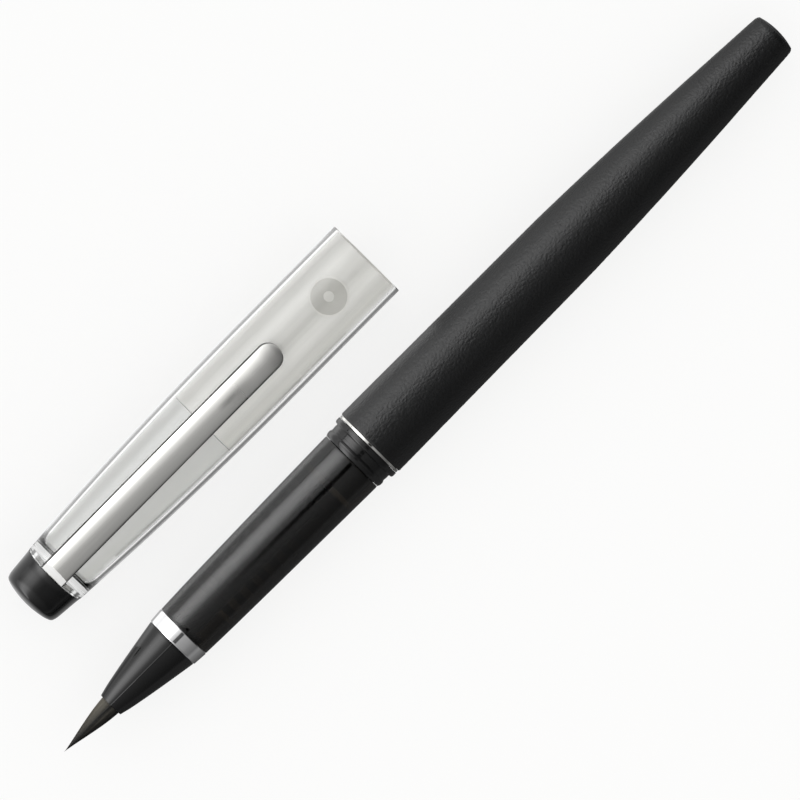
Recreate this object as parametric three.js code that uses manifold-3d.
// A refillable brush pen, lying level, with its cap pulled off and laid beside it.
// Millimetres, +Z up. The pen's axis runs along X, with the tuft towards -X and the barrel's closed
// end towards +X. The cap lies parallel to it on the +Y side, mouth towards +X, pocket clip on top.
import * as THREE from 'three';
import { mergeVertices } from 'three/addons/utils/BufferGeometryUtils.js';
import Module from 'manifold-3d';

const wasm = await Module();
wasm.setup();

// ---------------------------------------------------------------- driving dimensions
// Places along the pen are counted from the barrel's mouth, and forwards is negative.
const TIP_X = -56.96;           // point of the tuft
const NOZZLE_X = -48.25;        // mouth of the nozzle
const NOZZLE_LENGTH = 11.58;    // visible cone
const NOZZLE_MOUTH_R = 1.8;
const NOZZLE_BORE_R = 1.62;
const TRIM_WIDTH = 2.13;        // bright ring between nozzle and section tube
const SECTION_R = 4.14;         // section tube at its front end
const SECTION_SWELL = 0.6;      // how much it gains towards the barrel
const COLLAR_X = -2.97;         // front of the cap-locking bead
const FLANGE_X = -0.86;         // front of the flange that stops the cap
const FLANGE_R = 5.26;
const STUB_LENGTH = 8.5;        // threaded stub behind the flange
const BARREL_R = 5.37;          // barrel at its mouth
const BARREL_TAPER = 0.0065;    // its slight taper per millimetre
const BARREL_SHOULDER_X = 36.4; // where the stronger taper begins
const BARREL_END_X = 76.97;     // apex of the closed end
const BARREL_WALL = 1.05;
const BARREL_THICKEST_X = 0.7;
const CARTRIDGE_R = 3.4;
const CARTRIDGE_END_X = 40;
const CARTRIDGE_NOSE_X = -8.7;
const CAP_LENGTH = 64;          // places along the cap are depths from its mouth
const CAP_R = 6;
const CAP_WALL = 0.7;           // clear outer shell
const CAP_JOINT = 58.5;         // depth of the joint between shell and finial, on the axis
const CAP_JOINT_TILT = THREE.MathUtils.degToRad(7.5);
const INNER_CAP_MOUTH = 30.76;
const INNER_CAP_END = 56.65;
const CLIP_WIDTH = 3.9;
const CLIP_TIP = 16.5;

const CAP_BEHIND = 17.42;       // the cap's mouth lies this far behind the barrel's mouth
const CAP_BESIDE = 17.4;        // and its axis this far to the side

const ROUND = 32;               // sides of the outer turned pieces
const SMALL = 16;               // sides of the inner ones

// ---------------------------------------------------------------- materials
const material = (color, roughness, metalness = 0) =>
  new THREE.MeshStandardMaterial({ color, roughness, metalness });
const GLOSS_BLACK = material(0x111214, 0.15);
const SMOKE_PLASTIC = material(0x2a2724, 0.1);
const SOFT_BLACK = material(0x232527, 0.7);
const CLEAR_PLASTIC = material(0xd9dbd8, 0.08);
const SATIN_SILVER = material(0xc9c9c4, 0.35, 0.6);
const CHROME = material(0xe6e6e6, 0.08, 1);
const STEEL = material(0xb9b9b2, 0.2, 1);
const HAIR = material(0x3a3531, 0.6);
const FIBRE = material(0xb8b2a6, 0.9);
const SEAL_RUBBER = material(0x1a1a1a, 0.8);
const MILKY_PLASTIC = material(0xc4c6c6, 0.4);
const MOULDED_GREY = material(0x5a5a57, 0.5);

// ---------------------------------------------------------------- shape helpers
// An outline is a list of [place along the axis, radius]; its outer wall runs backwards.
function turned(outline, sides = ROUND) {
  const points = outline.map(([along, radius]) => new THREE.Vector2(radius, along));
  return new THREE.LatheGeometry(points, sides).rotateZ(-Math.PI / 2);
}

// The cap's places are depths from its mouth, which faces +X.
function turnedCap(outline, sides = ROUND) {
  return turned(outline, sides).rotateZ(Math.PI);
}

// Closes an outer and an inner wall, both listed front to back, into one ring-shaped outline.
function ring(outer, inner) {
  return [...outer, ...[...inner].reverse(), outer[0]];
}

// Points of a formula radius between two places.
function run(from, to, steps, radiusAt) {
  return Array.from({ length: steps + 1 }, (_, i) => {
    const along = from + ((to - from) * i) / steps;
    return [along, radiusAt(along)];
  });
}

// Points of a shallow dome from a given radius to its apex on the axis.
function dome(apex, sphere, fromRadius, steps) {
  return Array.from({ length: steps + 1 }, (_, i) => {
    const radius = fromRadius * (1 - i / steps);
    return [apex - sphere + Math.sqrt(sphere ** 2 - radius ** 2), radius];
  });
}

function solid(geometry) {
  const bare = geometry.clone();
  bare.deleteAttribute('normal');
  bare.deleteAttribute('uv');
  const merged = mergeVertices(bare, 1e-4);
  const index = merged.index.array;
  const corners = [];
  for (let i = 0; i < index.length; i += 3) {
    const [a, b, c] = [index[i], index[i + 1], index[i + 2]];
    if (a !== b && b !== c && c !== a) corners.push(a, b, c);
  }
  return new wasm.Manifold(new wasm.Mesh({
    numProp: 3,
    vertProperties: Float32Array.from(merged.attributes.position.array),
    triVerts: Uint32Array.from(corners),
  }));
}

function geometryOf(body) {
  const mesh = body.getMesh();
  const geometry = new THREE.BufferGeometry();
  geometry.setAttribute('position', new THREE.BufferAttribute(mesh.vertProperties, 3));
  geometry.setIndex(new THREE.BufferAttribute(mesh.triVerts, 1));
  return geometry;
}

function piece(name, geometry, finish) {
  const mesh = new THREE.Mesh(geometry, finish);
  mesh.name = name;
  return mesh;
}

// ---------------------------------------------------------------- outer forms
const tuftRadius = (x) => {
  const v = (x - TIP_X) / (NOZZLE_X - TIP_X);
  return 1.52 * v * (1 + 0.62 * v * (1 - v));
};
const nozzleRadius = (x) =>
  NOZZLE_MOUTH_R + 2.16 * Math.max(0, (x - NOZZLE_X) / NOZZLE_LENGTH) ** 0.85;
const TRIM_X = NOZZLE_X + NOZZLE_LENGTH;
const TUBE_X = TRIM_X + TRIM_WIDTH;
const sectionRadius = (x) =>
  SECTION_R + SECTION_SWELL * ((x - TUBE_X + 0.1) / (COLLAR_X - TUBE_X + 0.1)) ** 0.72;
const barrelRadius = (x) =>
  BARREL_R - BARREL_TAPER * x - 0.0095 * Math.max(0, x - BARREL_SHOULDER_X) ** 1.4;
const capRadius = (depth) => CAP_R - 2.035e-4 * Math.max(0, depth - 15) ** 2.32;

// ---------------------------------------------------------------- brush and nozzle
// The tuft turns about a point just outside the nozzle, so its hidden root is a ball round it.
const TUFT_PIVOT_X = NOZZLE_X - 0.45;

function brushTuft() {
  const ball = tuftRadius(TUFT_PIVOT_X);
  const hidden = Array.from({ length: 5 }, (_, i) => {
    const angle = ((i + 1) * Math.PI) / 10;
    return [TUFT_PIVOT_X + ball * Math.sin(angle), i < 4 ? ball * Math.cos(angle) : 0];
  });
  const point = [[TIP_X, 0], [TIP_X + 0.4, 0.07]];
  return turned([...point, ...run(TIP_X + 1.2, TUFT_PIVOT_X, 6, tuftRadius), ...hidden], SMALL);
}

function nozzle() {
  const outer = [
    ...run(NOZZLE_X, TRIM_X - 0.05, 8, nozzleRadius),
    [TRIM_X - 0.05, 3.35],
    [TUBE_X + 4.4, 3.35],
  ];
  const inner = [
    [NOZZLE_X, NOZZLE_BORE_R],
    [NOZZLE_X + 1.35, NOZZLE_BORE_R],
    [NOZZLE_X + 1.75, 1.78],
    [NOZZLE_X + 5.25, 2.3],
    [NOZZLE_X + 8.3, 2.82],
    [TUBE_X + 4.4, 2.82],
  ];
  return turned(ring(outer, inner));
}

const HOLDER_X = NOZZLE_X + 1.95;

function tuftHolder() {
  const outer = [[HOLDER_X, 1.68], [HOLDER_X + 3.3, 2.15], [HOLDER_X + 5.9, 2.15]];
  const inner = [[HOLDER_X, 1.43], [HOLDER_X + 5.9, 1.43]];
  return turned(ring(outer, inner), SMALL);
}

function tuftRoot() {
  const back = HOLDER_X + 4.6;
  return turned([[HOLDER_X - 0.3, 0], [HOLDER_X - 0.3, 1.37], [back, 1.37], [back, 0]], SMALL);
}

function sectionRing() {
  const back = TUBE_X - 0.05;
  const outer = [[TRIM_X, 4.0], [TRIM_X + 0.12, 4.06], [back - 0.12, 4.19], [back, 4.15]];
  return turned(ring(outer, [[TRIM_X, 3.42], [back, 3.42]]));
}

// ---------------------------------------------------------------- grip section
const SPIGOT_X = COLLAR_X - 4.1;

function sectionTube() {
  const back = COLLAR_X - 0.05;
  const outer = [...run(TUBE_X, back - 0.25, 8, sectionRadius), [back, 4.7]];
  const inner = [
    [TUBE_X, 3.42],
    [TUBE_X + 4.6, 3.42],
    [TUBE_X + 4.9, 3.6],
    [SPIGOT_X - 1.2, 3.6],
    [SPIGOT_X - 0.8, 4.02],
    [back, 4.02],
  ];
  return turned(ring(outer, inner));
}

// Spigot into the tube, bead and groove for the cap, flange, and the threaded stub.
// The thread is drawn as rings, clear of the rings inside the barrel.
function sectionCollar() {
  const threads = [];
  for (let i = 0; i < 4; i++) {
    const x = 1.9 + i * 1.6;
    threads.push([x, 4.02], [x + 0.35, 4.22], [x + 0.75, 4.22], [x + 1.1, 4.02]);
  }
  const outer = [
    [SPIGOT_X, 3.95],
    [COLLAR_X, 3.95],
    [COLLAR_X, 4.72],
    [COLLAR_X + 0.35, 4.88],
    [COLLAR_X + 0.75, 4.92],
    [COLLAR_X + 1.0, 4.84],
    [COLLAR_X + 1.1, 4.68],
    [COLLAR_X + 1.35, 4.68],
    [COLLAR_X + 1.45, 4.8],
    [FLANGE_X, 4.8],
    [FLANGE_X, FLANGE_R - 0.28],
    [FLANGE_X + 0.1, FLANGE_R - 0.08],
    [FLANGE_X + 0.3, FLANGE_R],
    [0, FLANGE_R],
    [0, 4.02],
    ...threads,
    [STUB_LENGTH, 4.02],
  ];
  const inner = [[SPIGOT_X, 3.25], [-1.45, 3.25], [-1.45, 3.55], [STUB_LENGTH, 3.55]];
  return turned(ring(outer, inner));
}

function threadSeal() {
  const [middle, thick] = [4.35, 0.26];
  const outline = Array.from({ length: 9 }, (_, i) => {
    const angle = Math.PI - (i * Math.PI) / 4;
    return [0.32 + thick * Math.cos(angle), middle + thick * Math.sin(angle)];
  });
  return turned(outline, ROUND);
}

// ---------------------------------------------------------------- ink path
const FEED_X = HOLDER_X + 4.75;
const FEED_BACK_X = -10.15;
const NEEDLE_X = FEED_BACK_X - 2.4;

// A core with collector fins, bored for the wick and counterbored for the needle.
function inkFeed() {
  const fins = [];
  const addFins = (from, count, pitch, radius) => {
    for (let i = 0; i < count; i++) {
      const x = from + i * pitch;
      fins.push([x, 1.5], [x, radius], [x + pitch * 0.5, radius], [x + pitch * 0.5, 1.5]);
    }
  };
  addFins(FEED_X + 3.4, 3, 1.8, 2.7);
  addFins(TUBE_X + 5.6, 7, 2.2, 3.3);
  const outer = [
    [FEED_X, 1.2],
    [FEED_X + 0.4, 1.36],
    [FEED_X + 1.3, 1.36],
    [FEED_X + 1.3, 1.5],
    ...fins,
    [FEED_BACK_X - 1.2, 1.5],
    [FEED_BACK_X - 1.2, 3.5],
    [FEED_BACK_X, 3.5],
  ];
  const inner = [[FEED_X, 0.72], [NEEDLE_X - 0.1, 0.72], [NEEDLE_X - 0.1, 1.15], [FEED_BACK_X, 1.15]];
  return turned(ring(outer, inner), SMALL);
}

function feedWick() {
  const [front, back] = [FEED_X + 0.1, NEEDLE_X + 6.6];
  return turned([[front, 0], [front, 0.6], [back, 0.6], [back, 0]], SMALL);
}

function piercingTube() {
  const back = NEEDLE_X + 7;
  const outer = [[NEEDLE_X, 1.08], [back - 0.8, 1.08], [back, 0.85]];
  return turned(ring(outer, [[NEEDLE_X, 0.72], [back, 0.72]]), SMALL);
}

function cartridgeSocket() {
  const front = FEED_BACK_X + 0.1;
  const outer = [[front, 3.0], [front + 0.2, 3.15], [-1.5, 3.15]];
  const inner = [[front, 1.2], [front + 1.05, 1.2], [front + 1.05, 2.45], [-1.5, 2.45]];
  return turned(ring(outer, inner), SMALL);
}

// ---------------------------------------------------------------- ink cartridge
function cartridgeBody() {
  const end = CARTRIDGE_END_X;
  const hollow = [
    [end - 0.9, 0],
    [end - 1.1, 1.8],
    [end - 2.2, 2.8],
    [0.4, 2.8],
    [-1.0, 1.75],
    [CARTRIDGE_NOSE_X, 1.75],
  ];
  const outer = [
    [CARTRIDGE_NOSE_X, 2.38],
    [-1.2, 2.38],
    [-0.7, 2.75],
    [0, CARTRIDGE_R],
    [end - 1.6, CARTRIDGE_R],
    [end - 0.4, 2.7],
    [end, 1.5],
    [end, 0],
  ];
  return turned([...hollow, ...outer], 24);
}

function cartridgePlug() {
  const [front, back] = [CARTRIDGE_NOSE_X + 0.1, CARTRIDGE_NOSE_X + 1.8];
  return turned(ring([[front, 1.7], [back, 1.7]], [[front, 1.18], [back, 1.18]]), SMALL);
}

const BALL_R = 1.45;

function stirringBall() {
  return new THREE.SphereGeometry(BALL_R, 16, 10).translate(20, 0, BALL_R - 2.75);
}

// ---------------------------------------------------------------- barrel
function barrelShell() {
  const innerRadius = (x) => barrelRadius(x) - BARREL_WALL;
  const hollow = [
    [74.4, 0],
    [74.4, 1.5],
    ...run(11.2, 73.4, 6, innerRadius).reverse(),
    [11, 4.75],
    [3, 4.75],
    [3, 4.93],
    [0.45, 4.93],
  ];
  const outer = [
    [0.45, 5.28],
    ...run(BARREL_THICKEST_X, BARREL_SHOULDER_X, 3, barrelRadius),
    ...run(BARREL_SHOULDER_X + 5, 75.9, 7, barrelRadius),
    [76.25, 3.14],
    ...dome(BARREL_END_X, 10.4, 2.95, 3),
  ];
  return turned([...hollow, ...outer]);
}

function barrelMouthRing() {
  const outer = [[0.04, 5.16], [0.1, 5.2], [0.42, 5.2], [0.42, 4.88], [2.9, 4.88]];
  return turned(ring(outer, [[0.04, 4.7], [2.9, 4.7]]));
}

function barrelInsert() {
  const [front, back] = [3.1, 10.8];
  const rings = [];
  for (let i = 0; i < 3; i++) {
    const x = front + 0.8 + i * 1.6;
    rings.push([x, 4.3], [x + 0.3, 4.5], [x + 0.7, 4.5], [x + 1.0, 4.3]);
  }
  const inner = [[front, 4.45], [front + 0.3, 4.3], ...rings, [back, 4.3]];
  return turned(ring([[front, 4.69], [back, 4.69]], inner), ROUND);
}

// ---------------------------------------------------------------- cap
// The finial sits on a joint plane that leans back on the clip's side.
// A tool for one side of that plane is built lying against x = 0 and carried there.
function onJoint(geometry) {
  return solid(geometry.rotateY(-CAP_JOINT_TILT).translate(-CAP_JOINT, 0, 0));
}

function discOnJoint(radius, from, to) {
  const disc = new THREE.CylinderGeometry(radius, radius, to - from, ROUND);
  return disc.rotateZ(Math.PI / 2).translate((from + to) / 2, 0, 0);
}

function boxOnJoint(from, to, width, low, high) {
  const box = new THREE.BoxGeometry(to - from, width, high - low);
  return box.translate((from + to) / 2, 0, (low + high) / 2);
}

const RECESS = 0.55;            // seat for the clip's ring in the shell's end
const TAB_TOP = 4.0;            // where the ring's tab meets the clip's tail

function capShell() {
  const inside = (depth) => capRadius(depth) - CAP_WALL;
  const outer = [[0, CAP_R - 0.06], [0.1, CAP_R], ...run(15, 59.5, 10, capRadius)];
  const inner = [[0, inside(0)], ...run(15, 56.6, 6, inside), [57.05, 3.7], [57.05, 1.3], [59.5, 1.3]];
  return geometryOf(
    solid(turnedCap(ring(outer, inner)))
      .subtract(onJoint(boxOnJoint(-12, 0, 16, -8, 8)))
      .subtract(onJoint(discOnJoint(3.4, -1, RECESS)))
      .subtract(onJoint(boxOnJoint(-1, RECESS, CLIP_WIDTH + 0.16, 2.5, 7))),
  );
}

function capSleeve() {
  const outside = capRadius(0) - CAP_WALL - 0.05;
  const [front, back] = [0.3, INNER_CAP_MOUTH - 0.1];
  const outer = [[front, outside], [15, outside], [back, capRadius(back) - CAP_WALL - 0.05]];
  return turnedCap(ring(outer, [[front, 4.98], [back, 4.98]]));
}

function innerCap() {
  const outside = (depth) => capRadius(depth) - CAP_WALL - 0.06;
  const end = INNER_CAP_END;
  const hollow = [
    [end - 0.35, 0],
    [end - 0.35, 2.7],
    [end - 0.6, 3.0],
    [45, 3.3],
    [37, 4.42],
    [INNER_CAP_MOUTH, 4.42],
  ];
  const outer = [
    ...run(INNER_CAP_MOUTH, end - 0.6, 6, outside),
    [end, outside(end) - 0.4],
    [end, 0],
  ];
  return turnedCap([...hollow, ...outer]);
}

function capFinial() {
  const outer = [
    [57, 4.78],
    [61.9, 4.42],
    [62.7, 4.3],
    [63.15, 4.08],
    [63.38, 3.8],
    ...dome(CAP_LENGTH, 13, 3.3, 3),
  ];
  const hole = [[62.8, 0], [62.8, 1.25], [57, 1.25]];
  return geometryOf(
    solid(turnedCap([...hole, ...outer])).subtract(onJoint(boxOnJoint(-0.04, 12, 16, -8, 8))),
  );
}

function finialStud() {
  const outline = [
    [56.72, 0],
    [56.72, 2.2],
    [56.98, 2.2],
    [56.98, 1.15],
    [62.4, 1.15],
    [62.6, 0.9],
    [62.6, 0],
  ];
  return turnedCap(outline, SMALL);
}

// The clip's ring goes round the stud, with a tab up to the clip's tail.
function clipRing() {
  const [front, back] = [0.08, RECESS - 0.07];
  return geometryOf(
    onJoint(discOnJoint(3.3, front, back))
      .add(onJoint(boxOnJoint(front, back, CLIP_WIDTH, 2.6, TAB_TOP)))
      .subtract(onJoint(discOnJoint(1.4, -1, 1))),
  );
}

// The clip's side view is cut from a plate, crowned by a long cylinder and rounded at its tip.
function pocketClip() {
  const side = [
    [58.96, TAB_TOP + 0.12],
    [59.04, 4.74],
    [58.05, 6.1],
    [57.6, 6.24],
    [24, 7.45],
    [19.5, 7.45],
    [17.3, 7.12],
    [CLIP_TIP, 6.6],
    [CLIP_TIP + 0.15, 6.2],
    [17.7, 6.07],
    [19.2, 6.25],
    [21.5, 6.78],
    [56.8, 5.5],
    [58.55, 5.0],
    [58.62, TAB_TOP + 0.12],
  ];
  const outline = new THREE.Shape(side.map(([depth, height]) => new THREE.Vector2(-depth, height)));
  const plate = new THREE.ExtrudeGeometry(outline, { depth: CLIP_WIDTH, bevelEnabled: false });
  plate.rotateX(Math.PI / 2).translate(0, CLIP_WIDTH / 2, 0);

  const lean = Math.atan2(7.45 - 6.24, 57.6 - 24);
  const crownR = 4.4;
  const crown = new THREE.CylinderGeometry(crownR, crownR, 120, 48);
  crown.rotateZ(Math.PI / 2).rotateX(Math.PI / 48).rotateY(-lean);
  crown.translate(-24, 0, 7.47 - crownR);

  const plan = new THREE.Shape();
  plan.moveTo(-62, -CLIP_WIDTH / 2);
  plan.lineTo(-CLIP_TIP - 1.75, -CLIP_WIDTH / 2);
  plan.absellipse(-CLIP_TIP - 1.75, 0, 1.75, CLIP_WIDTH / 2, -Math.PI / 2, Math.PI / 2);
  plan.lineTo(-62, CLIP_WIDTH / 2);
  const rounded = new THREE.ExtrudeGeometry(plan, { depth: 12, bevelEnabled: false, curveSegments: 6 });

  return geometryOf(solid(plate).intersect(solid(crown)).intersect(solid(rounded)));
}

// ---------------------------------------------------------------- assembly
// The origin is under the middle of everything; pen and cap both lie on Z = 0.
const penHeight = barrelRadius(BARREL_THICKEST_X);
const penX = -(TIP_X + BARREL_END_X) / 2;
const penY = (penHeight - CAP_BESIDE - CAP_R) / 2;

const pen = new THREE.Group();
pen.position.set(penX, penY, penHeight);
pen.add(
  piece('brush_tuft', brushTuft(), HAIR),
  piece('tuft_root', tuftRoot(), HAIR),
  piece('tuft_holder', tuftHolder(), MOULDED_GREY),
  piece('nozzle', nozzle(), GLOSS_BLACK),
  piece('section_ring', sectionRing(), CHROME),
  piece('section_tube', sectionTube(), SMOKE_PLASTIC),
  piece('section_collar', sectionCollar(), GLOSS_BLACK),
  piece('thread_seal', threadSeal(), SEAL_RUBBER),
  piece('ink_feed', inkFeed(), MOULDED_GREY),
  piece('feed_wick', feedWick(), FIBRE),
  piece('piercing_tube', piercingTube(), STEEL),
  piece('cartridge_socket', cartridgeSocket(), MOULDED_GREY),
  piece('cartridge_body', cartridgeBody(), MILKY_PLASTIC),
  piece('cartridge_plug', cartridgePlug(), SEAL_RUBBER),
  piece('stirring_ball', stirringBall(), STEEL),
  piece('barrel_shell', barrelShell(), SOFT_BLACK),
  piece('barrel_mouth_ring', barrelMouthRing(), CHROME),
  piece('barrel_insert', barrelInsert(), MOULDED_GREY),
);

const cap = new THREE.Group();
cap.position.set(penX + CAP_BEHIND, penY + CAP_BESIDE, CAP_R);
cap.add(
  piece('cap_shell', capShell(), CLEAR_PLASTIC),
  piece('cap_sleeve', capSleeve(), SATIN_SILVER),
  piece('inner_cap', innerCap(), SATIN_SILVER),
  piece('cap_finial', capFinial(), GLOSS_BLACK),
  piece('finial_stud', finialStud(), STEEL),
  piece('clip_ring', clipRing(), STEEL),
  piece('pocket_clip', pocketClip(), STEEL),
);

const brushPen = new THREE.Group();
brushPen.add(pen, cap);

export default brushPen;
